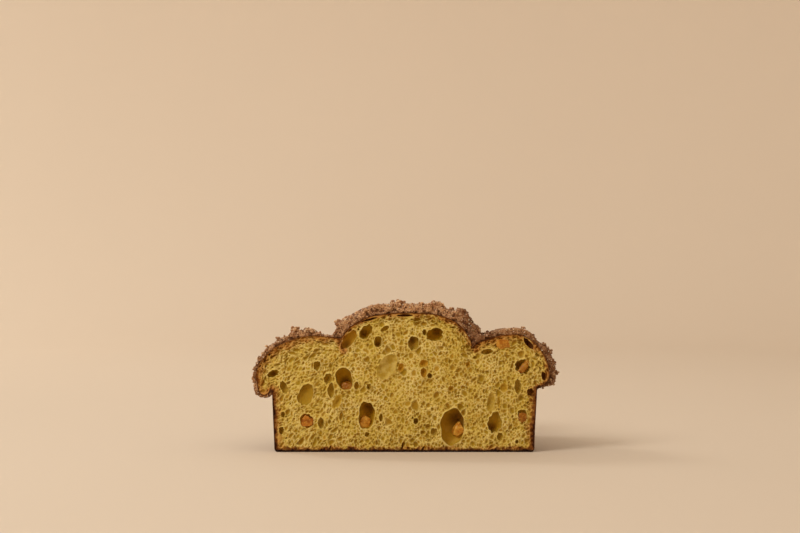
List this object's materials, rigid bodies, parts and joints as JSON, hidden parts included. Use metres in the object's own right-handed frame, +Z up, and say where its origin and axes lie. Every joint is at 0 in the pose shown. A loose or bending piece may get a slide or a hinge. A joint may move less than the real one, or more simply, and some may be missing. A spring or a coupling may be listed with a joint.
{
  "type": "half colomba cake",
  "caption": "Cut half of a dove-shaped sweet loaf: straight moulded base, risen dome and wing lobes, crumbly almond glaze on top, open yellow crumb with candied orange at the cut.",
  "frame": {"origin": "middle of the bounding box at the level of the base, where the loaf stands", "axes": "+X across both wings to the right as seen from the cut, +Y from the cut towards the tail, +Z up; the cut faces -Y"},
  "size_m": [0.253, 0.1633, 0.1264],
  "materials": {
    "crumb": "soft open yellow crumb with a browned crust",
    "glaze": "dry, crumbly, dull with a few sugar glints",
    "candied_orange": "moist and slightly clear"
  },
  "bodies": {
    "root": {"cake": "crumb", "glaze": "glaze", "candied_orange_1": "candied_orange", "candied_orange_2": "candied_orange", "candied_orange_3": "candied_orange", "candied_orange_4": "candied_orange", "candied_orange_5": "candied_orange", "candied_orange_6": "candied_orange", "candied_orange_7": "candied_orange"}
  },
  "joints": []
}
